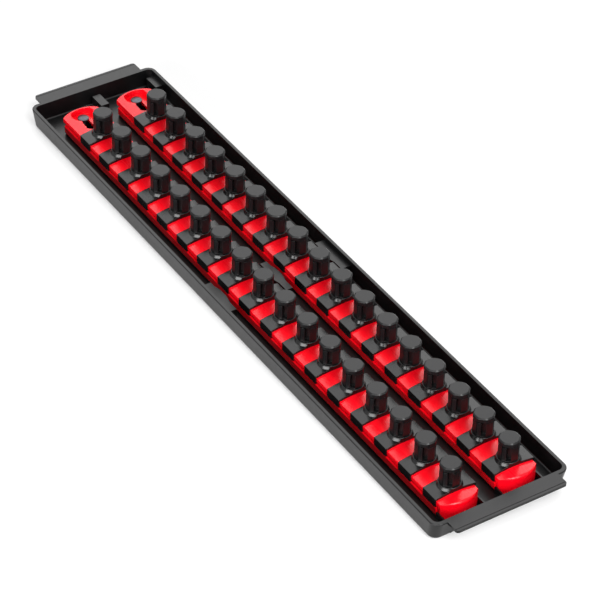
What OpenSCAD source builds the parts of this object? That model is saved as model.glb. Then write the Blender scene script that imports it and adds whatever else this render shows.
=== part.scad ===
// Socket organizer drawer box. A long open tray carries two rails, and each rail
// carries a row of twist-lock posts that hold sockets by their square drive hole.
// Millimetres. Origin: centre of the tray's flat underside. +X runs across the
// rails, +Y along them to the keyhole end (the far end), +Z is up.
// A rail unlocks by sliding to the far end, where its keyhole clears a headed pin.

/* [Posts] */
// Number of posts on each rail
post_count = 17; // [4:1:17]
// Distance between neighbouring posts along a rail
pitch = 25.4; // [22:0.2:32]
// Width of a post across the flats, which fits the socket's drive hole
post_af = 12.7; // [10:0.1:12.8]
// Height of a post's top above the crown of its base
post_h = 16.2; // [14:0.1:24]
// Chamfer along the eight top edges of a post
post_chamfer = 0.7; // [0.3:0.1:1.2]
// Height of the full-width cap at the top of a post
cap_h = 3.1; // [2:0.1:5]
// How far the shank stands in from the cap, on each flat
shank_inset = 0.3; // [0.1:0.05:0.8]
// Height of the neck between the cap and the shank
neck_h = 0.8; // [0.4:0.1:1.5]
// Depth of the neck below the flats of the shank
neck_depth = 0.5; // [0.2:0.1:1]
// Width of the window that the spring finger stands in
window_w = 5.9; // [5:0.1:7]
// Depth of that window, from the flats of the cap
window_depth = 3.2; // [2.6:0.1:3.6]
// Direction in plan that the window faces when a socket is locked
window_dir = 221; // [180:1:260]
// Width of the spring finger
finger_w = 2.5; // [1.8:0.1:3]
// Thickness of the spring finger
finger_t = 1.6; // [1:0.1:2]
// Gap between the finger and the side of its window
finger_gap = 0.35; // [0.2:0.05:0.6]
// Gap between the top of the finger and the cap
finger_top_gap = 0.9; // [0.5:0.1:2]
// Height of the closed foot of a post below its window
foot_h = 0.8; // [0.5:0.1:2]

/* [Post bearing] */
// Radius of the turning neck of a post
journal_r = 5.2; // [4:0.1:5.6]
// Radial running clearance of the neck in its collar
journal_gap = 0.06; // [0.03:0.01:0.1]
// How far the snap flange below the neck stands out past it
snap_lip = 0.5; // [0.3:0.1:0.7]
// Thickness of the snap flange
snap_t = 0.7; // [0.5:0.1:1]
// End clearance above and below the turning faces
end_gap = 0.06; // [0.04:0.01:0.15]
// Height of the collar around a post's foot, above the crown of the base
collar_h = 1.6; // [1.2:0.1:3]
// Flat ring left on top of the collar
collar_land = 1.7; // [0.6:0.1:2]
// How far the collar's slope runs out at its foot
collar_flare = 0.8; // [0.5:0.1:2.5]

/* [Clip bases] */
// Length of a clip base along the rail
base_l = 12.6; // [9:0.1:14]
// Thickness of a clip base over the rail's crown
base_t = 1.8; // [1:0.1:2]
// Thickness of the skirts that reach down the rail's sides
skirt_t = 0.9; // [0.7:0.05:1.4]
// Clearance between a clip base and the rail
clip_gap = 0.08; // [0.04:0.01:0.15]
// How far the hook at the foot of a skirt reaches into the rail's groove
hook_reach = 0.4; // [0.2:0.05:0.6]
// Height of that hook
hook_h = 0.8; // [0.5:0.1:1]

/* [Rails] */
// Distance between the centre lines of the two rails
rail_spacing = 41.2; // [36:0.2:50]
// Width of a rail above its flanges
rail_w = 26.6; // [22:0.2:30]
// Height of a rail at its top edges
rail_h = 10.8; // [10:0.1:13]
// How much the middle of a rail's top stands above its edges
rail_crown = 1.3; // [0.6:0.05:2]
// Height of the flanges along a rail's foot
flange_h = 6.5; // [5:0.1:7]
// Radius along the lower edges of a rail
rail_edge_r = 2.4; // [1:0.1:3]
// Depth of the clip groove above each flange
groove_depth = 0.6; // [0.4:0.05:0.8]
// Height of the clip groove
groove_h = 1.1; // [0.8:0.1:1.4]
// Thickness of a rail's side walls
rail_side_t = 1.9; // [1.4:0.1:3]
// Thickness of a rail's top at its edges
rail_top_t = 2; // [1.5:0.1:3]
// Thickness of the wall at the foot of a rail's far tip
rail_tip_t = 1.6; // [1.2:0.1:2.4]
// From a rail's near tip to its hollow underside
rail_solid = 7; // [6:0.5:10]
// From the last post to the rail's near tip
near_over = 15.5; // [13.5:0.1:20]
// From the first post to the rail's far tip
far_over = 36; // [35:0.1:45]
// Plan radius of the rail's near tip
near_tip_r = 18.7; // [16:0.1:30]
// Plan radius of the rail's far tip
far_tip_r = 22.4; // [18:0.1:30]
// Rounding along the top edge of both tips
tip_edge_r = 2; // [0.4:0.1:2.2]
// How far the flanges stop short of the far tip
flange_setback = 2.5; // [1.5:0.1:4]
// How far the flanges run past the last clip base
flange_near = 1; // [0.5:0.1:2]

/* [Keyhole and pin] */
// From the far tip to the pin's axis, with the rail locked
pin_setback = 8; // [7:0.1:9]
// Diameter of the pin's head
pin_head_d = 7.6; // [6:0.1:8]
// Thickness of the pin's head
pin_head_t = 1.3; // [1:0.1:2]
// Doming of the pin's head
pin_dome = 0.3; // [0.1:0.1:0.5]
// Diameter of the pin's shank
pin_d = 4.6; // [3.6:0.1:5]
// How deep the pin is pressed into its boss
pin_grip = 4; // [3:0.5:4.5]
// Running gap between the pin and the rail
pin_gap = 0.3; // [0.15:0.05:0.5]
// Depth of the recess around the keyhole, below the rail's top edges
recess_depth = 3.3; // [2.8:0.1:4]
// Thickness of the plate that the pin's head holds down
plate_t = 2; // [1.4:0.1:2.4]
// Width of the rim left around the recess at the far tip
recess_rim = 2.2; // [1.6:0.1:3]
// Radius of the recess around the pin
recess_r = 8.5; // [7:0.1:9]
// Width of the recess's neck
recess_neck = 10; // [8:0.2:12]
// Radius of the recess around the keyhole's wide end
recess_end_r = 6.6; // [5.6:0.1:7]
// Diameter of the keyhole's wide end
keyhole_d = 8.8; // [8.2:0.1:10]
// Slide of a rail from locked to free
rail_travel = 13; // [11:0.5:14]
// Outer radius of the boss that the pin is pressed into
boss_r = 3.6; // [3.2:0.1:5.5]

/* [Tray] */
// Height of the tray to its rim
tray_h = 14; // [13:0.5:18]
// Thickness of the walls at the rim
wall_t = 2.2; // [2:0.1:3.5]
// Thickness of the floor
floor_t = 2; // [1.5:0.1:3]
// Clearance between the floor and the rails
rail_gap = 0.1; // [0.05:0.05:0.3]
// Inside width left between each outer flange and the side wall, at the rim
side_room = 10.6; // [9:0.2:16]
// Inside length left between a rail's near tip and the end wall, at the rim
near_room = 7.2; // [5.8:0.1:10]
// Room left beyond a freed rail's far tip, at the rim
far_room = 3.2; // [1.4:0.1:6]
// Plan radius of the outer corners
corner_r = 6; // [5:0.5:14]
// How far the side walls lean in at the bottom
side_draft = 0.6; // [0.2:0.1:1]
// How far the end walls lean in at the bottom
end_draft = 2.4; // [1:0.1:2.5]
// Rounding along the bottom edge
bottom_r = 3.2; // [2:0.1:4]
// Rounding along the outside of the rim
rim_r = 0.7; // [0.3:0.1:1]
// Fillet between the floor and the walls
inner_r = 1.2; // [0.8:0.1:2]

/* [Tray handles] */
// Width of each handle tab
tab_w = 77.6; // [50:0.2:80]
// Reach of each handle tab past the rim
tab_reach = 9.2; // [6:0.1:16]
// Thickness of the handle tabs
tab_t = 1.8; // [1.4:0.1:2.6]
// Radius of the tabs' outer corners
tab_r = 2; // [1:0.5:4]
// Distance of the fine groove from a tab's outer edge
tab_line = 1.7; // [1:0.1:3]
// Depth and width of that groove
tab_line_d = 0.35; // [0.2:0.05:0.5]

/* [Tray guides] */
// Length of the three guides at mid-length
guide_l = 31.2; // [20:0.2:40]
// Place of the guides along the tray, from its centre
guide_y = 3; // [-10:0.5:10]
// Height of the guides' flat tops above the tray's underside
guide_top = 10.2; // [9:0.1:12]
// Width of the middle guide at its ends
guide_w = 4.8; // [3:0.1:6]
// Width of the outer guides at their ends
guide_side_w = 6.7; // [4:0.1:7]
// How far the bow of a guide's side stands out
bow_out = 1.5; // [0.8:0.1:1.8]
// Length of that bow
bow_l = 18; // [10:1:20]
// Shift of the bow from the middle of the guide
bow_shift = 2; // [0:0.5:4]
// Height of the nibs that steady a rail's flange
nib_h = 3.4; // [2:0.2:4]
// Length of those nibs
nib_l = 8; // [4:1:12]
// Gap between a nib and the flange
nib_gap = 0.3; // [0.2:0.05:0.6]
// Width of the two flat pads beside the rails' far ends
pad_w = 5.9; // [4:0.1:7]
// Length of those pads
pad_l = 13; // [8:0.5:16]
// From the end of a pad to the end wall, at the rim
pad_room = 4.7; // [3:0.1:6]
// Height of the fins beside a rail's near end, above the floor
fin_h = 4.5; // [3:0.1:6]
// Thickness of those fins
fin_t = 1; // [0.8:0.1:1.6]
// Gap between a fin and the rail
fin_gap = 0.2; // [0.1:0.05:0.4]
// Length of the fins along the rail
fin_l = 10.5; // [6:0.5:11]
// Width of the tongue under each rail's near tip
tongue_w = 10; // [6:0.5:14]
// Thickness of that tongue
tongue_t = 1.8; // [1.2:0.1:2.4]
// Reach of the tongue past the near tip
tongue_l = 2.8; // [2:0.1:3]
// Gap around the tongue in its keeper
tongue_gap = 0.25; // [0.15:0.05:0.5]
// Thickness of the keeper over the tongue
keeper_t = 1.6; // [1.2:0.1:2.4]

/* [Hidden] */
$fn = 64;
e = 0.01;
SIDES = [["left", -1], ["right", 1]];

// Lengths along the tray, worked out from the row of posts.
row_l = (post_count - 1) * pitch;
rail_l = near_over + row_l + far_over;
cav_l = near_room + rail_l + rail_travel + far_room;
tray_l = cav_l + 2 * wall_t;
near_y = -cav_l / 2;
far_y = cav_l / 2;
tip_near = near_y + near_room;
tip_far = tip_near + rail_l;
post_near = tip_near + near_over;
post_far = post_near + row_l;
flange_w = rail_w + 2 * (skirt_t + clip_gap);
cav_w = rail_spacing + flange_w + 2 * side_room;
tray_w = cav_w + 2 * wall_t;

// Heights above the tray's underside.
rail_z = floor_t + rail_gap;
flange_z = rail_z + flange_h;
edge_z = rail_z + rail_h;
crown_z = edge_z + rail_crown;
base_in_z = crown_z + clip_gap;
base_z = base_in_z + base_t;
collar_z = base_z + collar_h;
post_z = base_z + post_h;
pit_z = edge_z - recess_depth;
plate_z = pit_z - plate_t;

// Turning faces of a post, from the bottom up.
well_z = base_in_z + 0.5;
snap_z = well_z + end_gap;
snap_top = snap_z + snap_t;
well_top = snap_top + end_gap;
shank_z = collar_z + end_gap;
cap_z = post_z - cap_h;
shank_top = cap_z - neck_h;

// Radii of the crowned tops: rail_r through the rail's edges, base_r outside it.
rail_r = (pow(rail_w / 2, 2) + pow(rail_crown, 2)) / (2 * rail_crown);
crown_axis_z = crown_z - rail_r;

// Keyhole, pin and recess.
pin_y = tip_far - pin_setback;
wide_y = pin_y - rail_travel;
pin_head_z = pit_z + 0.2;
boss_z = plate_z - pin_gap;
slot_w = pin_d + 2 * pin_gap;

// Half angle of the draft, as a run per millimetre of height.
side_run = side_draft / tray_h;
end_run = end_draft / tray_h;

POST_NODES = [for (s = SIDES, i = [1:post_count]) post_name(s[0], i)];

// Name of the post at place i, counted from the far end of its rail.
function post_name(side, i) = str("post_", side, i < 10 ? "_0" : "_", i);
// Place of post i along the tray.
function post_y(i) = post_far - (i - 1) * pitch;

// Extrudes an outline drawn in X and Z along Y, from y0 to y1.
module along_y(y0, y1) {
    translate([0, y1, 0])
        rotate([90, 0, 0])
            linear_extrude(height = y1 - y0)
                children();
}

// Outline of a rectangle with round corners, centred, made of true arcs.
module round_rect(w, l, r) {
    square([w, l - 2 * r], center = true);
    square([w - 2 * r, l], center = true);
    for (x = [-1, 1], y = [-1, 1])
        translate([x * (w / 2 - r), y * (l / 2 - r)])
            circle(r = r);
}

// One round-edged disc at a corner of the tray's outer form.
module corner_disc(r, edge, z) {
    translate([0, 0, z])
        rotate_extrude()
            translate([max(r - edge, 0.1), 0])
                intersection() {
                    circle(r = edge, $fn = 24);
                    translate([0, -edge])
                        square([edge, 2 * edge]);
                }
}

// A drafted box with round corners, from z0 to z1: its plan is w by l at rim_z,
// lower it leans in, and its lower and upper edges are rounded by r0 and r1.
module drafted_box(w, l, r, z0, z1, r0, r1) {
    low_w = w - 2 * side_run * (tray_h - z0);
    low_l = l - 2 * end_run * (tray_h - z0);
    hull() {
        for (x = [-1, 1], y = [-1, 1]) {
            translate([x * (w / 2 - r), y * (l / 2 - r), 0])
                corner_disc(r, r1, z1 - r1);
            translate([x * (low_w / 2 - r), y * (low_l / 2 - r), 0])
                corner_disc(r, r0, z0 + r0);
        }
    }
}

// Plan of a mid-length guide: a strip of width w with bowed sides. The sides
// that bow are given by two flags, left and right.
module guide_plan(w, left, right) {
    bow_r = (pow(bow_l / 2, 2) + pow(bow_out, 2)) / (2 * bow_out);
    square([w, guide_l], center = true);
    for (s = [[-1, left], [1, right]])
        if (s[1])
            intersection() {
                translate([s[0] * (w / 2 + bow_out - bow_r), bow_shift])
                    circle(r = bow_r, $fn = 96);
                translate([s[0] * w / 2, bow_shift])
                    square([2 * bow_out + e, bow_l], center = true);
            }
}

// The guides at mid-length: one between the rails and one along each side wall.
module guides() {
    side_x = cav_w / 2 - guide_side_w / 2;
    flange_in = rail_spacing / 2 - flange_w / 2;
    flange_out = rail_spacing / 2 + flange_w / 2;
    nib_y = guide_y + bow_shift;
    translate([0, guide_y, floor_t - e])
        linear_extrude(height = guide_top - floor_t + e)
            guide_plan(guide_w, true, true);
    translate([0, nib_y, floor_t - e + nib_h / 2])
        cube([2 * (flange_in - nib_gap), nib_l, nib_h], center = true);
    for (s = [-1, 1]) {
        translate([s * side_x, guide_y, floor_t - e])
            linear_extrude(height = guide_top - floor_t + e)
                guide_plan(guide_side_w, s > 0, s < 0);
        translate([s * (flange_out + nib_gap), nib_y - nib_l / 2, floor_t - e])
            mirror([s < 0 ? 1 : 0, 0, 0])
                cube([side_x - flange_out - nib_gap, nib_l, nib_h]);
    }
}

// Fins and keeper that take the near end of one rail.
module near_socket() {
    fin_x = rail_w / 2 + fin_gap;
    keeper_z = rail_z + tongue_t + tongue_gap;
    wall_y = near_y + end_run * (tray_h - floor_t);
    fin_end = tip_near + fin_l - 3;
    for (s = [-1, 1])
        translate([s * (fin_x + fin_t / 2), (near_y + fin_end) / 2, floor_t + fin_h / 2 - e])
            cube([fin_t, fin_end - near_y, fin_h], center = true);
    difference() {
        translate([0, (near_y + tip_near - 0.5) / 2, (floor_t + keeper_z + keeper_t) / 2 - e])
            cube([tongue_w + 5, tip_near - 0.5 - near_y, keeper_z + keeper_t - floor_t], center = true);
        translate([0, wall_y + (tip_near - wall_y) / 2, (floor_t + keeper_z) / 2])
            cube([tongue_w + 2 * tongue_gap, tip_near - wall_y + 2, keeper_z - floor_t], center = true);
    }
}

// Boss for the pin at the far end of one rail, with its press bore.
module pin_boss() {
    difference() {
        translate([0, 0, floor_t - e])
            cylinder(r = boss_r, h = boss_z - floor_t + e);
        translate([0, 0, boss_z - pin_grip])
            cylinder(d = pin_d, h = pin_grip + 1);
    }
}

// Flat pads at the far end, one to the right of each rail.
module pads() {
    pad_y = far_y - pad_room - pad_l / 2;
    for (x = [0, cav_w / 2 - pad_w / 2])
        translate([x, pad_y, (floor_t + guide_top) / 2 - e])
            cube([pad_w + (x > 0 ? e : 0), pad_l, guide_top - floor_t + e], center = true);
}

// One handle tab at the far end; the near one is its mirror image.
module handle_tab() {
    y0 = tray_l / 2 - wall_t;
    y1 = tray_l / 2 + tab_reach;
    translate([0, 0, tray_h - tab_t])
        difference() {
            linear_extrude(height = tab_t)
                difference() {
                    translate([0, y0])
                        round_rect(tab_w, 2 * (y1 - y0), tab_r);
                    translate([-tab_w, y0 - tab_w])
                        square([2 * tab_w, tab_w]);
                }
            translate([-tab_w, y1 - tab_line - tab_line_d, tab_t - tab_line_d])
                cube([2 * tab_w, tab_line_d, 1]);
        }
}

module tray() {
    color([0.07, 0.07, 0.075]) {
        difference() {
            drafted_box(tray_w, tray_l, corner_r, 0, tray_h, bottom_r, rim_r);
            difference() {
                drafted_box(cav_w, cav_l, corner_r - wall_t, floor_t, tray_h + 4, inner_r, 0.1);
                translate([-tray_w / 2, near_y - 5, 0])
                    cube([tray_w, cav_l + 10, floor_t]);
            }
        }
        guides();
        pads();
        for (s = [-1, 1])
            translate([s * rail_spacing / 2, 0, 0]) {
                near_socket();
                translate([0, pin_y, 0])
                    pin_boss();
            }
        handle_tab();
        mirror([0, 1, 0])
            handle_tab();
    }
}

// Headed pin that holds down one rail's keyhole plate.
module rail_pin(side) {
    dome_r = (pow(pin_head_d / 2, 2) + pow(pin_dome, 2)) / (2 * pin_dome);
    head_top = pin_head_z + pin_head_t;
    color([0.12, 0.12, 0.13])
        translate([side * rail_spacing / 2, pin_y, 0]) {
            translate([0, 0, boss_z - pin_grip])
                cylinder(d = pin_d, h = pin_head_z - boss_z + pin_grip + e);
            intersection() {
                translate([0, 0, pin_head_z])
                    cylinder(d = pin_head_d, h = pin_head_t);
                translate([0, 0, head_top - dome_r])
                    sphere(r = dome_r, $fn = 96);
            }
        }
}

// Section of a rail without its flanges: straight sides, crowned top, round foot.
module rail_body_section() {
    intersection() {
        union() {
            translate([-rail_w / 2, rail_z + rail_edge_r])
                square([rail_w, crown_z - rail_z]);
            translate([-rail_w / 2 + rail_edge_r, rail_z])
                square([rail_w - 2 * rail_edge_r, rail_edge_r + 1]);
            for (s = [-1, 1])
                translate([s * (rail_w / 2 - rail_edge_r), rail_z + rail_edge_r])
                    circle(r = rail_edge_r);
        }
        translate([0, crown_axis_z])
            circle(r = rail_r, $fn = 180);
    }
}

// Section of the flanges along a rail's foot, with their lower edges rounded.
module flange_section() {
    translate([-flange_w / 2 + rail_edge_r, rail_z])
        square([flange_w - 2 * rail_edge_r, flange_h]);
    translate([-flange_w / 2, rail_z + rail_edge_r])
        square([flange_w, flange_h - rail_edge_r]);
    for (s = [-1, 1])
        translate([s * (flange_w / 2 - rail_edge_r), rail_z + rail_edge_r])
            circle(r = rail_edge_r);
}

// A revolved plug with a rounded top edge, which shapes a tip's upper edge.
module tip_plug(r) {
    rotate_extrude($fn = 128) {
        square([r - tip_edge_r, crown_z]);
        square([r, crown_z - tip_edge_r]);
        translate([r - tip_edge_r, crown_z - tip_edge_r])
            circle(r = tip_edge_r, $fn = 32);
    }
}

// Everything a rail may fill: a long block that ends in the two tip plugs.
module tip_envelope() {
    w = 2 * flange_w;
    translate([0, tip_near + near_tip_r, 0])
        tip_plug(near_tip_r);
    translate([0, tip_far - far_tip_r, 0])
        tip_plug(far_tip_r);
    translate([-w / 2, tip_near + near_tip_r, 0])
        cube([w, tip_far - far_tip_r - tip_near - near_tip_r, crown_z + 1]);
}

// What the foot of a rail leaves free under its far tip.
module toe_cut() {
    difference() {
        translate([-flange_w, tip_far - far_tip_r - flange_setback, 0])
            cube([2 * flange_w, far_tip_r + flange_setback + 1, flange_z]);
        translate([0, tip_far - far_tip_r - flange_setback, -1])
            cylinder(r = far_tip_r, h = flange_z + 2, $fn = 128);
    }
}

// Recess and keyhole at the far end, cut down from the top.
module keyhole_cut() {
    translate([0, 0, pit_z])
        linear_extrude(height = recess_depth + rail_crown + 1) {
            intersection() {
                translate([0, pin_y])
                    circle(r = recess_r);
                translate([0, tip_far - far_tip_r])
                    circle(r = far_tip_r - recess_rim, $fn = 128);
            }
            translate([-recess_neck / 2, wide_y])
                square([recess_neck, rail_travel]);
            translate([0, wide_y])
                circle(r = recess_end_r);
        }
    translate([0, 0, plate_z - 1])
        linear_extrude(height = plate_t + 2) {
            translate([0, pin_y])
                circle(d = slot_w);
            translate([-slot_w / 2, wide_y])
                square([slot_w, rail_travel]);
            translate([0, wide_y])
                circle(d = keyhole_d);
        }
}

// Hollow underside of a rail: high under the posts, lower under the keyhole.
module rail_hollow() {
    w = rail_w - 2 * (rail_side_t + groove_depth);
    split_y = wide_y - recess_end_r - 1.5;
    near_wall = tip_near + rail_solid;
    translate([-w / 2, near_wall, 0])
        cube([w, split_y - near_wall, edge_z - rail_top_t]);
    intersection() {
        translate([-w / 2, split_y - 1, 0])
            cube([w, tip_far - split_y, plate_z]);
        translate([0, tip_far - flange_setback - far_tip_r, 0])
            cylinder(r = far_tip_r - rail_tip_t, h = plate_z, $fn = 128);
    }
}

// Grooves that the hooks of the clip bases run in.
module clip_grooves() {
    foot_near = post_near - base_l / 2 - flange_near;
    for (s = [-1, 1])
        translate([s * rail_w / 2, (foot_near + tip_far + 5) / 2, flange_z + groove_h / 2])
            cube([2 * groove_depth, tip_far + 5 - foot_near, groove_h], center = true);
}

module rail(side) {
    foot_near = post_near - base_l / 2 - flange_near;
    color([0.80, 0.03, 0.05])
        translate([side * rail_spacing / 2, 0, 0])
            difference() {
                union() {
                    intersection() {
                        along_y(tip_near - 1, tip_far + 1)
                            rail_body_section();
                        tip_envelope();
                    }
                    along_y(foot_near, tip_far - flange_setback)
                        flange_section();
                    translate([-tongue_w / 2, tip_near - tongue_l, rail_z])
                        cube([tongue_w, tongue_l + 5, tongue_t]);
                }
                toe_cut();
                clip_grooves();
                rail_hollow();
                keyhole_cut();
            }
}

// Section of a clip base across the rail: crowned cap, skirts and hooks.
module base_section() {
    hook_z = flange_z + 0.15;
    difference() {
        intersection() {
            translate([-flange_w / 2, hook_z])
                square([flange_w, base_z - hook_z + 1]);
            translate([0, crown_axis_z])
                circle(r = rail_r + clip_gap + base_t, $fn = 180);
        }
        difference() {
            intersection() {
                translate([-rail_w / 2 - clip_gap, 0])
                    square([rail_w + 2 * clip_gap, crown_z + 5]);
                translate([0, crown_axis_z])
                    circle(r = rail_r + clip_gap, $fn = 180);
            }
            for (s = [-1, 1])
                translate([s * (rail_w / 2 + clip_gap), hook_z + hook_h / 2])
                    square([2 * (hook_reach + clip_gap), hook_h], center = true);
        }
    }
}

// Collar that a post turns in, cut off in line with the ends of its base.
module collar() {
    ring_r = journal_r + journal_gap + collar_land;
    intersection() {
        translate([0, 0, base_z - base_t / 2])
            cylinder(r1 = ring_r + collar_flare * (1 + base_t / 2 / collar_h), r2 = ring_r, h = collar_h + base_t / 2);
        translate([0, 0, collar_z / 2])
            cube([4 * ring_r, base_l, collar_z + 1], center = true);
    }
}

// Well in a base: a wide chamber for the snap flange under a narrower neck.
module post_well() {
    translate([0, 0, well_z])
        cylinder(r = journal_r + snap_lip + journal_gap, h = well_top - well_z);
    translate([0, 0, well_z])
        cylinder(r = journal_r + journal_gap, h = collar_z - well_z + 1);
}

// One clip base at the origin of its post.
module clip_base() {
    difference() {
        union() {
            along_y(-base_l / 2, base_l / 2)
                base_section();
            collar();
        }
        post_well();
    }
}

module clip_bases(side) {
    color([0.10, 0.10, 0.105])
        for (i = [1:post_count])
            translate([side * rail_spacing / 2, post_y(i), 0])
                clip_base();
}

// Octagonal prism with its flats square to the axes, af across the flats.
module octagon(af, z0, z1) {
    translate([0, 0, z0])
        rotate([0, 0, 22.5])
            cylinder(r = af / 2 / cos(22.5), h = z1 - z0, $fn = 8);
}

// Planar chamfers along the eight edges of a flat octagonal top.
module octagon_chamfer(af, z1, c) {
    for (a = [0:45:315])
        rotate([0, 0, a])
            translate([af / 2, 0, z1 - c])
                rotate([0, -45, 0])
                    translate([0, -af, 0])
                        cube([af, 2 * af, af]);
}

// Everything of a post above its collar, at the origin, before it is turned.
module post_form() {
    shank_af = post_af - 2 * shank_inset;
    win_x = post_af / 2 - window_depth;
    finger_y = window_w / 2 - finger_gap - finger_w;
    finger_x = post_af / 2 - shank_inset - finger_t;
    difference() {
        union() {
            octagon(post_af, cap_z, post_z);
            octagon(shank_af - 2 * neck_depth, shank_top - e, cap_z + e);
            octagon(shank_af, shank_z, shank_top);
        }
        octagon_chamfer(post_af, post_z, post_chamfer);
        rotate([0, 0, window_dir])
            translate([win_x, -window_w / 2, shank_z + foot_h])
                cube([post_af, window_w, cap_z - shank_z - foot_h]);
    }
    rotate([0, 0, window_dir])
        translate([finger_x, -finger_y - finger_w, shank_z])
            cube([finger_t, finger_w, cap_z - finger_top_gap - shank_z]);
}

// The turning foot of a post: neck in the collar, snap flange in the well.
module post_foot() {
    translate([0, 0, snap_z])
        cylinder(r = journal_r, h = shank_z - snap_z + e);
    translate([0, 0, snap_z])
        cylinder(r = journal_r + snap_lip, h = snap_t);
}

module post(side, i) {
    color([0.09, 0.09, 0.095])
        translate([side * rail_spacing / 2, post_y(i), 0]) {
            post_form();
            post_foot();
        }
}

tray();
rail_pin(-1);  // pin_left
rail_pin(1);  // pin_right
rail(-1);  // rail_left
rail(1);  // rail_right
clip_bases(-1);  // clip_bases_left
clip_bases(1);  // clip_bases_right
for (s = SIDES, i = [1:post_count])
    post(s[1], i);
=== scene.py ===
# %% [markdown]
# # A socket organizer, dressed for the studio
#
# The object is a long, shallow tray of black moulded plastic. Two glossy red rails
# lie in it, and on each rail a row of black clips carries short octagonal posts
# that sockets are pushed onto and twisted to lock. The solids come from the CAD
# model with exact sizes. Here they get grain, gloss and light, and soft edges where
# there is room for them, and every piece stays where the CAD model has it. Blender
# counts in metres, so a size that is written in millimetres is multiplied by `MM`.

# %% Load the frame
import math
import bmesh
import bpy
from mathutils import Matrix, Vector


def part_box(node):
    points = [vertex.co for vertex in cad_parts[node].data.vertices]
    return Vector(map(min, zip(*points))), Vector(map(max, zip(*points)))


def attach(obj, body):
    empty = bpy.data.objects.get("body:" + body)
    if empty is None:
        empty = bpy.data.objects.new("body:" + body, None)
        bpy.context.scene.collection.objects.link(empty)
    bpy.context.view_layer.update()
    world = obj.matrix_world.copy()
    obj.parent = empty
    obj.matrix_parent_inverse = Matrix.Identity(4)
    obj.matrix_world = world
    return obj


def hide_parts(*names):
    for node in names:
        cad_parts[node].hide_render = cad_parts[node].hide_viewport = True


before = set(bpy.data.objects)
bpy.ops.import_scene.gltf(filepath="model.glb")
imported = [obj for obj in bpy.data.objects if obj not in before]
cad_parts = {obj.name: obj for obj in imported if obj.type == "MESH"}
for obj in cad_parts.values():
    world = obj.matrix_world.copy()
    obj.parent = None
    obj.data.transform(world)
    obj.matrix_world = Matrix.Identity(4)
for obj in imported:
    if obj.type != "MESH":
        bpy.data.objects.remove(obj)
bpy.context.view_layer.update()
MM = 0.001
SIDES = ("left", "right")
POSTS_IN_ROW = 17

# %% [markdown]
# ## Camera and picture frame
#
# The photograph was taken with a long lens from above the tray's near left side.
# Its place was worked out once by fitting the tops of all the posts and the
# tray's corners, so it is written here as plain numbers: a point in millimetres,
# three turns in degrees, and the lens and film width in millimetres. The nearest
# and farthest distances that the camera sees are in metres.

# %% Camera
CAMERA_AT = (-748.744, -1181.280, 1115.513)
CAMERA_TURN = (51.24122, -0.77146, -32.30284)
CAMERA_LENS = 170.118
FILM_WIDTH = 36.0
NEAREST, FARTHEST = 0.05, 30.0

camera_data = bpy.data.cameras.new("camera")
camera_data.lens = CAMERA_LENS
camera_data.sensor_width = FILM_WIDTH
camera_data.clip_start = NEAREST
camera_data.clip_end = FARTHEST
camera = bpy.data.objects.new("camera", camera_data)
camera.location = Vector(CAMERA_AT) * MM
camera.rotation_euler = [math.radians(a) for a in CAMERA_TURN]
bpy.context.scene.collection.objects.link(camera)
bpy.context.scene.camera = camera
print("camera at", [round(v, 3) for v in camera.location])

# %% [markdown]
# ## Writing shader maths as Python
#
# A procedural material is a small calculation: noise is stretched, mixed and
# clipped until it looks like grain or wear. Wiring Math nodes by hand hides that
# calculation, so one class wraps a node's output and lets `+`, `-` and `*` add the
# Math nodes. One function adds a node to any tree. A node's settings come first,
# because some of them decide which sockets the node has.

# %% Nodes and arithmetic
def add_node(tree, kind, settings, inputs):
    """Adds a node: settings first, then the values or links of its sockets."""
    made = tree.nodes.new(kind)
    for key, value in settings.items():
        setattr(made, key, value)
    for key, value in inputs.items():
        if isinstance(value, bpy.types.NodeSocket):
            tree.links.new(value, made.inputs[key])
        elif value is not None:
            made.inputs[key].default_value = value
    return made


class Wave:
    """One output socket of a shader tree, with arithmetic."""

    def __init__(self, paint, socket):
        self.paint = paint
        self.socket = socket

    def _math(self, kind, a, b):
        return self.paint.node("ShaderNodeMath", {"operation": kind}, {0: a, 1: b})

    def __add__(self, other):
        return self._math("ADD", self, other)

    def __radd__(self, other):
        return self._math("ADD", other, self)

    def __sub__(self, other):
        return self._math("SUBTRACT", self, other)

    def __rsub__(self, other):
        return self._math("SUBTRACT", other, self)

    def __mul__(self, other):
        return self._math("MULTIPLY", self, other)

    def __rmul__(self, other):
        return self._math("MULTIPLY", other, self)

    def smooth(self, low, high):
        """0 below low, 1 above high, with a soft step between."""
        ways = {"interpolation_type": "SMOOTHSTEP"}
        return self.paint.node("ShaderNodeMapRange", ways, {0: self, 1: low, 2: high})


print("nodes and arithmetic ready")

# %% [markdown]
# ## A tree that is built by short calls
#
# Every finish here is made of the same few steps: noise of a known size, a blend
# of two colours, and a little relief. A second class holds the tree of a material
# or of the world and gives each step a short name. Patterns read Object
# coordinates, which are metres in the CAD model's frame, so grain has a real size
# and stays on its piece. A Mix node lists its sockets for numbers, vectors and
# colours one after the other, and the numbers below pick the colour ones.

# %% Paint
MIX_FACTOR, MIX_LOW, MIX_HIGH, MIX_COLOUR = 0, 6, 7, 2


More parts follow.
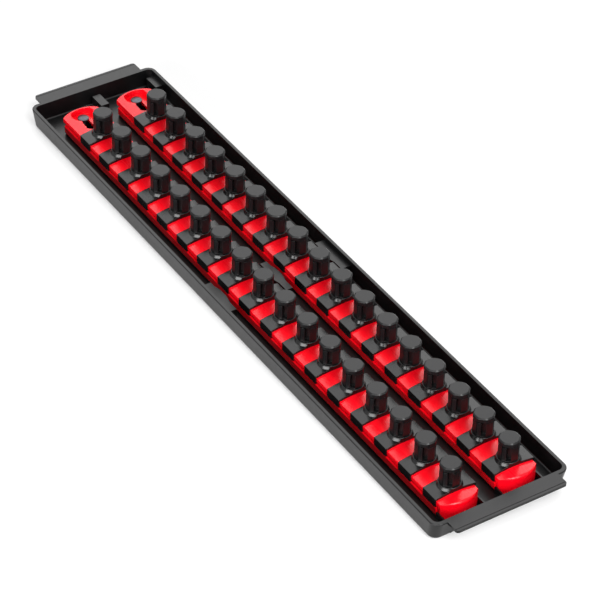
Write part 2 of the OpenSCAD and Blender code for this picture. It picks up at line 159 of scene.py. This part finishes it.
class Paint:
    """The shader tree of a material or of the world."""

    def __init__(self, owner):
        self.owner = owner
        owner.use_nodes = True
        self.tree = owner.node_tree
        self.tree.nodes.clear()

    def node(self, kind, settings, inputs, out=0):
        """Adds a node and gives back one of its outputs, where it has any."""
        plain = {
            key: value.socket if isinstance(value, Wave) else value
            for key, value in inputs.items()
        }
        made = add_node(self.tree, kind, settings, plain)
        return Wave(self, made.outputs[out]) if len(made.outputs) else None

    def place(self):
        """Where on the piece a point is, in metres."""
        return self.node("ShaderNodeTexCoord", {}, {}, "Object")

    def noise(self, size_mm, detail=3.0, rough=0.5, place=None):
        """Cloudy noise whose blotches are about size_mm across, from 0 to 1."""
        sockets = {"Vector": place or self.place(), "Scale": 1.0 / (size_mm * MM)}
        sockets.update({"Detail": detail, "Roughness": rough})
        return self.node("ShaderNodeTexNoise", {}, sockets)

    def cells(self, size_mm):
        """Distance to the nearest of scattered points, for pebbled grain."""
        sockets = {"Vector": self.place(), "Scale": 1.0 / (size_mm * MM)}
        return self.node("ShaderNodeTexVoronoi", {}, sockets)

    def stretched(self, scale):
        """Where a point is, with each axis scaled by itself, for streaks."""
        return self.node("ShaderNodeMapping", {}, {"Vector": self.place(), "Scale": scale})

    def blend(self, factor, low, high):
        """A colour that goes from low to high with the factor."""
        low, high = [c if isinstance(c, Wave) else (*c, 1.0) for c in (low, high)]
        sockets = {MIX_FACTOR: factor, MIX_LOW: low, MIX_HIGH: high}
        return self.node("ShaderNodeMix", {"data_type": "RGBA"}, sockets, MIX_COLOUR)

    def bump(self, height, depth_mm, strength=1.0, under=None):
        """Relief of that depth, on top of another relief where one is given."""
        sockets = {"Height": height, "Distance": depth_mm * MM}
        sockets.update({"Strength": strength, "Normal": under})
        return self.node("ShaderNodeBump", {}, sockets)

    def background_rays(self):
        """1 for a ray that should meet the white background, and else 0."""
        seen = self.node("ShaderNodeLightPath", {}, {}, "Is Camera Ray")
        for ray in ("Is Glossy Ray", "Is Transmission Ray"):
            more = self.node("ShaderNodeLightPath", {}, {}, ray)
            seen = self.node("ShaderNodeMath", {"operation": "MAXIMUM"}, {0: seen, 1: more})
        return seen

    def finish(self, output, shader):
        """Ends the tree in an output node of that kind."""
        self.node(output, {}, {"Surface": shader})
        return self.owner

    def principled(self, **sockets):
        """Ends a material in a Principled shader with these sockets."""
        named = {key.replace("_", " "): value for key, value in sockets.items()}
        shader = self.node("ShaderNodeBsdfPrincipled", {}, named)
        return self.finish("ShaderNodeOutputMaterial", shader)


print("paint ready")

# %% [markdown]
# ## Black moulded plastic
#
# The tray, the clips and the posts are all black, and yet no two look alike in the
# photograph. What tells them apart is only the surface: the tray has the fine
# pebbled grain of a spark-eroded mould, the clips are smoother and shine more, and
# the posts carry a little polish from the sockets. So one function makes black
# plastic from a few numbers: how light it is, how rough, how much it mirrors, and
# how wide and deep its grain is. Wide clouds and fine specks of dust keep the
# black and the gloss from being even.

# %% Black plastic
CLOUD_MM, SPECK_MM = 38.0, 2.6
CLOUD_SHARE, SPECK_SHARE = 0.65, 0.35
DUST_FROM, DUST_FULL = 0.38, 0.72
CLEAN_TONE, DUSTY_TONE = 0.82, 1.30
PEBBLE_GRAIN, SPECK_GRAIN = 0.6, 0.4
CLOUD_ROUGHNESS, SPECK_ROUGHNESS = 0.10, 0.12


def black_plastic(name, shade, rough, grain_mm, grain_depth_mm, specular):
    paint = Paint(bpy.data.materials.new(name))
    cloud = paint.noise(CLOUD_MM, detail=4.0)
    speck = paint.noise(SPECK_MM, rough=0.6)
    grain = paint.cells(grain_mm) * PEBBLE_GRAIN + speck * SPECK_GRAIN
    dust = (cloud * CLOUD_SHARE + speck * SPECK_SHARE).smooth(DUST_FROM, DUST_FULL)
    clean, dusty = [tuple(c * tone for c in shade) for tone in (CLEAN_TONE, DUSTY_TONE)]
    waver = (cloud - 0.5) * CLOUD_ROUGHNESS + (speck - 0.5) * SPECK_ROUGHNESS
    return paint.principled(
        Base_Color=paint.blend(dust, clean, dusty),
        Roughness=waver + rough,
        Specular_IOR_Level=specular,
        Normal=paint.bump(grain, grain_depth_mm),
    )


tray_plastic = black_plastic(
    "tray_plastic", shade=(0.0016, 0.0016, 0.0018), rough=0.33,
    grain_mm=0.55, grain_depth_mm=0.020, specular=0.31)
clip_plastic = black_plastic(
    "clip_plastic", shade=(0.0030, 0.0030, 0.0032), rough=0.25,
    grain_mm=0.30, grain_depth_mm=0.006, specular=0.32)
post_plastic = black_plastic(
    "post_plastic", shade=(0.0050, 0.0050, 0.0054), rough=0.32,
    grain_mm=0.25, grain_depth_mm=0.008, specular=0.25)
print("black plastics made")

# %% [markdown]
# ## Glossy red plastic
#
# The rails are an even, saturated red with a clear gloss. Real mouldings are never
# quite even: the flow of the plastic leaves faint streaks along the rail, and the
# gloss wavers very slightly because the mould was polished by hand. The streaks
# are noise that is stretched along the rail, and the wavering is a wide, shallow
# relief under a very fine one.

# %% Red plastic
DEEP_RED = (0.80, 0.0010, 0.0080)
BRIGHT_RED = (0.88, 0.0022, 0.0115)
TINT_MM, STREAK_MM = 30.0, 6.0
ALONG_RAIL = (1.0, 0.08, 1.0)
TINT_FROM, TINT_FULL = 0.35, 0.68
WAVER_MM, WAVER_DEPTH, WAVER_STRENGTH = 7.0, 0.030, 0.6
SKIN_MM, SKIN_DEPTH, SKIN_STRENGTH = 0.35, 0.002, 0.5
RAIL_ROUGHNESS, STREAK_ROUGHNESS = 0.27, 0.08
RAIL_SPECULAR = 0.32


def red_plastic():
    paint = Paint(bpy.data.materials.new("rail_plastic"))
    cloud = paint.noise(TINT_MM)
    streak = paint.noise(STREAK_MM, detail=4.0, place=paint.stretched(ALONG_RAIL))
    tint = (cloud * 0.5 + streak * 0.5).smooth(TINT_FROM, TINT_FULL)
    wide = paint.noise(WAVER_MM, detail=1.0)
    waver = paint.bump(wide, WAVER_DEPTH, WAVER_STRENGTH)
    fine = paint.noise(SKIN_MM, detail=2.0)
    return paint.principled(
        Base_Color=paint.blend(tint, DEEP_RED, BRIGHT_RED),
        Roughness=(streak - 0.5) * STREAK_ROUGHNESS + RAIL_ROUGHNESS,
        Specular_IOR_Level=RAIL_SPECULAR,
        Normal=paint.bump(fine, SKIN_DEPTH, SKIN_STRENGTH, under=waver),
    )


rail_plastic = red_plastic()
print("red plastic made")

# %% [markdown]
# ## Blackened pin
#
# Each rail's keyhole hooks under a small headed pin. It is dark, bluish and partly
# metallic, like blackened steel, with clouds of a millimetre or two and fine marks.
# A plain grey metal would shine too much beside the black tray.

# %% Pin metal
DARK_STEEL = (0.045, 0.050, 0.060)
WORN_STEEL = (0.085, 0.092, 0.105)
STEEL_CLOUD_MM, STEEL_MARK_MM = 1.6, 0.25
STEEL_FROM, STEEL_FULL = 0.3, 0.7
STEEL_METALLIC = 0.7
STEEL_ROUGHNESS, STEEL_WAVER = 0.28, 0.14
MARK_DEPTH = 0.004


def blackened_metal():
    paint = Paint(bpy.data.materials.new("pin_metal"))
    cloud = paint.noise(STEEL_CLOUD_MM, detail=4.0)
    marks = paint.noise(STEEL_MARK_MM, detail=2.0)
    worn = cloud.smooth(STEEL_FROM, STEEL_FULL)
    return paint.principled(
        Base_Color=paint.blend(worn, DARK_STEEL, WORN_STEEL),
        Metallic=STEEL_METALLIC,
        Roughness=cloud * STEEL_WAVER + STEEL_ROUGHNESS,
        Normal=paint.bump(marks, MARK_DEPTH),
    )


pin_metal = blackened_metal()
print("pin metal made")

# %% [markdown]
# ## Soft edges on the CAD solids
#
# A CAD solid has knife edges, and a moulding never has: every edge carries a tiny
# radius that catches a thread of light. A CAD node's own mesh must stay as it is,
# so each piece starts as a copy whose loose triangles are joined into flat faces.
# A Bevel modifier then rounds each sharp edge. It takes no cut wider than the
# shortest edge allows, so slivers are welded first, or one of them would hold back
# every radius on the piece. The result is kept as a plain mesh.

# %% Edge softening
FLAT_WITHIN = math.radians(0.3)
EDGE_OVER = math.radians(32)


def merged_copy(node, name, weld_mm):
    """The CAD node's mesh with its loose triangles joined."""
    mesh = bmesh.new()
    mesh.from_mesh(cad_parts[node].data)
    bmesh.ops.remove_doubles(mesh, verts=mesh.verts, dist=weld_mm * MM)
    bmesh.ops.dissolve_degenerate(mesh, edges=mesh.edges, dist=weld_mm * MM)
    bmesh.ops.dissolve_limit(
        mesh, angle_limit=FLAT_WITHIN, verts=mesh.verts, edges=mesh.edges)
    data = bpy.data.meshes.new(name)
    mesh.to_mesh(data)
    mesh.free()
    piece = bpy.data.objects.new(name, data)
    bpy.context.scene.collection.objects.link(piece)
    return piece


def bake_modifiers(piece):
    """Turns what the modifiers make into the piece's own mesh."""
    graph = bpy.context.evaluated_depsgraph_get()
    solid = bpy.data.meshes.new_from_object(piece.evaluated_get(graph))
    solid.name = piece.name
    piece.modifiers.clear()
    piece.data = solid
    return piece


def soft_edges(piece, radius_mm, steps=2):
    """Gives every sharp edge a small radius, as far as its neighbours leave room."""
    piece.data.shade_smooth()
    edge = piece.modifiers.new("edge", "BEVEL")
    edge.width = radius_mm * MM
    edge.segments = steps
    edge.limit_method = "ANGLE"
    edge.angle_limit = EDGE_OVER
    edge.use_clamp_overlap = True
    flat = piece.modifiers.new("flat", "WEIGHTED_NORMAL")
    flat.mode = "FACE_AREA"
    flat.keep_sharp = True
    return bake_modifiers(piece)


def dress(piece, node, body, material):
    """Lets a piece stand for a node and ride on its body, in its own finish."""
    piece.data.materials.clear()
    piece.data.materials.append(material)
    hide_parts(node)
    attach(piece, body)


print("edges over", round(math.degrees(EDGE_OVER)), "degrees will be rounded")

# %% [markdown]
# ## Tray, pins, rails and clips
#
# The tray is one thin moulding with the two pins pressed into its floor. Each rail
# slides in it and takes its row of clips along, so the clips ride on the rail's
# body. The radii below are in millimetres and are what is asked for. Clips and pins
# get theirs in full. On the tray and the rails the modifier finds no room beside
# some short edges, even after the tray's wider weld, and cuts only about a
# hundredth of a millimetre, so these edges stay almost sharp. Softer ones would
# need those short edges taken out of the way first.

# %% Tray, pins, rails and clips
WELD, TRAY_WELD = 0.001, 0.1
TRAY_EDGE, PIN_EDGE, RAIL_EDGE, CLIP_EDGE = 0.25, 0.20, 0.45, 0.20
RAIL_STEPS = 3

tray = soft_edges(merged_copy("tray", "tray_moulding", TRAY_WELD), TRAY_EDGE)
dress(tray, "tray", "tray", tray_plastic)
for side in SIDES:
    pin, rail, clips = "pin_" + side, "rail_" + side, "clip_bases_" + side
    piece = soft_edges(merged_copy(pin, "pin_head_" + side, WELD), PIN_EDGE)
    dress(piece, pin, "tray", pin_metal)
    piece = soft_edges(merged_copy(rail, "rail_bar_" + side, WELD), RAIL_EDGE, RAIL_STEPS)
    dress(piece, rail, rail, rail_plastic)
    piece = soft_edges(merged_copy(clips, "clips_" + side, WELD), CLIP_EDGE)
    dress(piece, clips, rail, clip_plastic)

# %% [markdown]
# ## Posts
#
# All the posts are one moulding, so one is finished with care and then copied to
# the place of each. Its head is an octagon whose upright corners are well rounded:
# in the photograph it looks almost round from above. The Bevel modifier treats all
# edges alike, so these corners are cut first, on their own, with a larger radius.
# The other edges come out at about 0.08 mm of the 0.14 asked for, for want of room.
# The places come from the boxes of the CAD nodes.

# %% Head corners
HEAD_TALL = 3.1
HEAD_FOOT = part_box("post_left_01")[1][2] - HEAD_TALL * MM
FOOT_SLACK, LEAST_RISE = 0.01, 0.3
CORNER_OVER = math.radians(20)
CORNER_STEPS = 3


def head_corner(edge):
    """Whether an edge is one of the head's upright or slanted corners."""
    low, high = sorted(v.co.z for v in edge.verts)
    in_head = low > HEAD_FOOT - FOOT_SLACK * MM
    return in_head and high - low > LEAST_RISE * MM


def rounded(piece, chosen, radius_mm):
    """Rounds only the edges that chosen(edge) picks, by a cut of radius_mm."""
    mesh = bmesh.new()
    mesh.from_mesh(piece.data)
    picked = [e for e in mesh.edges if e.calc_face_angle() > CORNER_OVER and chosen(e)]
    bmesh.ops.bevel(
        mesh, geom=picked, offset=radius_mm * MM, segments=CORNER_STEPS,
        profile=0.5, affect="EDGES")
    mesh.to_mesh(piece.data)
    mesh.free()
    return len(picked)


print("heads start", round(HEAD_FOOT / MM, 2), "mm above the floor")

# %% Posts
POST_WELD, CORNER_RADIUS, POST_EDGE = 0.06, 1.1, 0.14


def post_node(side, place):
    return "post_%s_%02d" % (side, place)


pattern = merged_copy("post_left_01", "post_pattern", POST_WELD)
print("head corners:", rounded(pattern, head_corner, CORNER_RADIUS))
soft_edges(pattern, POST_EDGE)
start = Vector(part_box("post_left_01")[0])
for side in SIDES:
    for place in range(1, POSTS_IN_ROW + 1):
        node = post_node(side, place)
        post = bpy.data.objects.new(node + "_block", pattern.data.copy())
        post.data.transform(Matrix.Translation(Vector(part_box(node)[0]) - start))
        bpy.context.scene.collection.objects.link(post)
        dress(post, node, node + "_body", post_plastic)
bpy.data.objects.remove(pattern)

# %% [markdown]
# ## Rolled rims round the posts' feet
#
# Each clip carries a low collar, and its upper edge is rolled over into a thin rim
# that shines as a crescent at a post's foot. All the rims on a rail are alike and
# an inch apart, so one Geometry Nodes tree makes them: a circle swept round a
# circle is one rim, and a line of points places the copies. The copies are then
# made real, because an exported mesh can't hold instances.

# %% Rim tree
RIM_STEPS, ROLL_STEPS = 40, 10
RIM_SOCKETS = {
    "Count": "NodeSocketInt",
    "First": "NodeSocketVector",
    "Step": "NodeSocketVector",
    "Rim radius": "NodeSocketFloat",
    "Roll radius": "NodeSocketFloat",
    "Finish": "NodeSocketMaterial",
}


def row_of_rims():
    tree = bpy.data.node_groups.new("row_of_rims", "GeometryNodeTree")
    for name, kind in RIM_SOCKETS.items():
        tree.interface.new_socket(name, in_out="INPUT", socket_type=kind)
    tree.interface.new_socket(
        "Geometry", in_out="OUTPUT", socket_type="NodeSocketGeometry")
    given = tree.nodes.new("NodeGroupInput").outputs

    def step(kind, inputs, **settings):
        return add_node(tree, "GeometryNode" + kind, settings, inputs).outputs[0]

    def circle(steps, radius):
        return step("CurvePrimitiveCircle", {"Resolution": steps, "Radius": radius})

    path = circle(RIM_STEPS, given["Rim radius"])
    roll = circle(ROLL_STEPS, given["Roll radius"])
    rim = step("CurveToMesh", {"Curve": path, "Profile Curve": roll})
    line = {"Count": given["Count"], "Start Location": given["First"], "Offset": given["Step"]}
    places = step("MeshLine", line, mode="OFFSET")
    copies = step("InstanceOnPoints", {"Points": places, "Instance": rim})
    real = step("RealizeInstances", {"Geometry": copies})
    done = step("SetMaterial", {"Geometry": real, "Material": given["Finish"]})
    add_node(tree, "NodeGroupOutput", {}, {0: done})
    return tree


rim_tree = row_of_rims()
print("rim tree:", len(rim_tree.nodes), "nodes")

# %% [markdown]
# ## Rims on each rail
#
# The same tree serves both rails, and only the first place differs. A modifier's
# inputs go by the socket's identifier, and they are set before the tree runs for
# the first time. The middle of the roll lies a little below the top of the
# collar. The signed volume is printed, because it is positive only if the faces
# point outwards.

# %% Rims on each rail
RIM_RADIUS, ROLL_RADIUS, RIM_SINK = 6.72, 0.42, 0.12
RIM_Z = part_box("clip_bases_left")[1][2] - RIM_SINK * MM


def post_foot(side, place):
    """The middle of a post's foot, at the height of the rims."""
    low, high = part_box(post_node(side, place))
    return Vector([(low[0] + high[0]) / 2, (low[1] + high[1]) / 2, RIM_Z])


def rims(side):
    """All the rims of one rail, from the places of its first and last post."""
    first, last = post_foot(side, 1), post_foot(side, POSTS_IN_ROW)
    data = bpy.data.meshes.new("rims_" + side)
    piece = bpy.data.objects.new("collar_rims_" + side, data)
    bpy.context.scene.collection.objects.link(piece)
    row = piece.modifiers.new("row", "NODES")
    row.node_group = rim_tree
    values = {
        "Count": POSTS_IN_ROW,
        "First": first,
        "Step": (last - first) / (POSTS_IN_ROW - 1),
        "Rim radius": RIM_RADIUS * MM,
        "Roll radius": ROLL_RADIUS * MM,
        "Finish": clip_plastic,
    }
    for socket in rim_tree.interface.items_tree:
        if socket.in_out == "INPUT":
            row[socket.identifier] = values[socket.name]
    bake_modifiers(piece)
    piece.data.shade_smooth()
    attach(piece, "rail_" + side)
    return piece


for side in SIDES:
    made = rims(side)
    solid = bmesh.new()
    solid.from_mesh(made.data)
    volume = solid.calc_volume(signed=True) / MM ** 3
    print(made.name, len(made.data.polygons), "faces,", round(volume, 1), "mm3")
    solid.free()

# %% [markdown]
# ## White ground
#
# The photograph is a catalogue picture: a white ground that fades into a white
# background. The floor is pale and keeps the tray's shadow, and part of its white
# is its own glow. That white is for the camera and for mirror images only, so the
# satin walls mirror the white ground. Any other ray meets a dim room and a dark
# floor, which throw almost no soft light at the black plastic. More lamps would
# whiten the ground too, and fade the blacks.

# %% World and floor
WHITE = (1.0, 1.0, 1.0, 1.0)
ROOM_LIGHT = 0.01
FLOOR_GLOW = 0.40
FLOOR_DARK = (0.03, 0.03, 0.03)
FLOOR_DULL, FLOOR_CLEAN = (0.82, 0.82, 0.82), (0.84, 0.84, 0.84)
FLOOR_CLOUD_MM = 400.0
FLOOR_REACH, FLOOR_DROP = 6.0, 0.0002


def studio_world():
    """A dim room, and plain white for the rays that show the background."""
    world = bpy.data.worlds.new("room")
    bpy.context.scene.world = world
    paint = Paint(world)
    room = paint.node("ShaderNodeBackground", {}, {"Color": WHITE, "Strength": ROOM_LIGHT})
    white = paint.node("ShaderNodeBackground", {}, {"Color": WHITE, "Strength": 1.0})
    sockets = {0: paint.background_rays(), 1: room, 2: white}
    mixed = paint.node("ShaderNodeMixShader", {}, sockets)
    paint.finish("ShaderNodeOutputWorld", mixed)


def floor_material():
    """A pale floor that glows a little, and is dark to all other rays."""
    paint = Paint(bpy.data.materials.new("studio_floor"))
    seen = paint.background_rays()
    cloud = paint.noise(FLOOR_CLOUD_MM, detail=2.0)
    pale = paint.blend(cloud, FLOOR_DULL, FLOOR_CLEAN)
    shade = paint.blend(seen, FLOOR_DARK, pale)
    lit = paint.node("ShaderNodeBsdfDiffuse", {}, {"Color": shade})
    glow = paint.node("ShaderNodeEmission", {}, {"Color": WHITE, "Strength": 1.0})
    mixed = paint.node("ShaderNodeMixShader", {}, {0: seen * FLOOR_GLOW, 1: lit, 2: glow})
    return paint.finish("ShaderNodeOutputMaterial", mixed)


def floor():
    """A wide square just under the tray."""
    data = bpy.data.meshes.new("floor")
    signs = ((-1, -1), (1, -1), (1, 1), (-1, 1))
    corners = [(x * FLOOR_REACH, y * FLOOR_REACH, 0) for x, y in signs]
    data.from_pydata(corners, [], [(0, 1, 2, 3)])
    data.materials.append(floor_material())
    piece = bpy.data.objects.new("floor", data)
    piece.location.z = -FLOOR_DROP
    bpy.context.scene.collection.objects.link(piece)


studio_world()
floor()
bpy.context.scene.view_settings.view_transform = "Standard"
print("world and floor made")

# %% [markdown]
# ## Four softboxes
#
# The photograph has broad soft light. A flat top such as a post's head mirrors the
# large box at the back, the front box lifts the crowns and the noses of the rails,
# the box low on the left lights the sides, and the one above fills in. All of them
# face the middle of the tray. A box's place and size are in metres, and its
# brightness is that of its face, so a larger box of the same brightness lights
# more but looks no brighter in the plastic.

# %% Softboxes
SOFTBOXES = {
    "softbox_top": {"at": (-0.50, -0.70, 1.65), "size": (1.30, 1.30), "radiance": 3.2},
    "softbox_back": {"at": (1.15, 1.78, 2.12), "size": (3.5, 2.5), "radiance": 2.2},
    "softbox_front": {"at": (0.05, -1.85, 1.75), "size": (1.2, 1.2), "radiance": 12.0},
    "softbox_left": {"at": (-2.05, -1.00, 0.62), "size": (2.1, 0.75), "radiance": 14.0},
}


def softbox(name, at, size, radiance):
    """A rectangular lamp, as bright as a white surface of that radiance."""
    data = bpy.data.lights.new(name, "AREA")
    data.shape = "RECTANGLE"
    data.size, data.size_y = size
    data.energy = radiance * math.pi * size[0] * size[1]
    lamp = bpy.data.objects.new(name, data)
    lamp.location = at
    lamp.rotation_euler = (-Vector(at)).to_track_quat("-Z", "Y").to_euler()
    lamp.visible_camera = False
    bpy.context.scene.collection.objects.link(lamp)


for name, box in SOFTBOXES.items():
    softbox(name, **box)
print("softboxes:", len(SOFTBOXES))

# %% End
print("scene built")
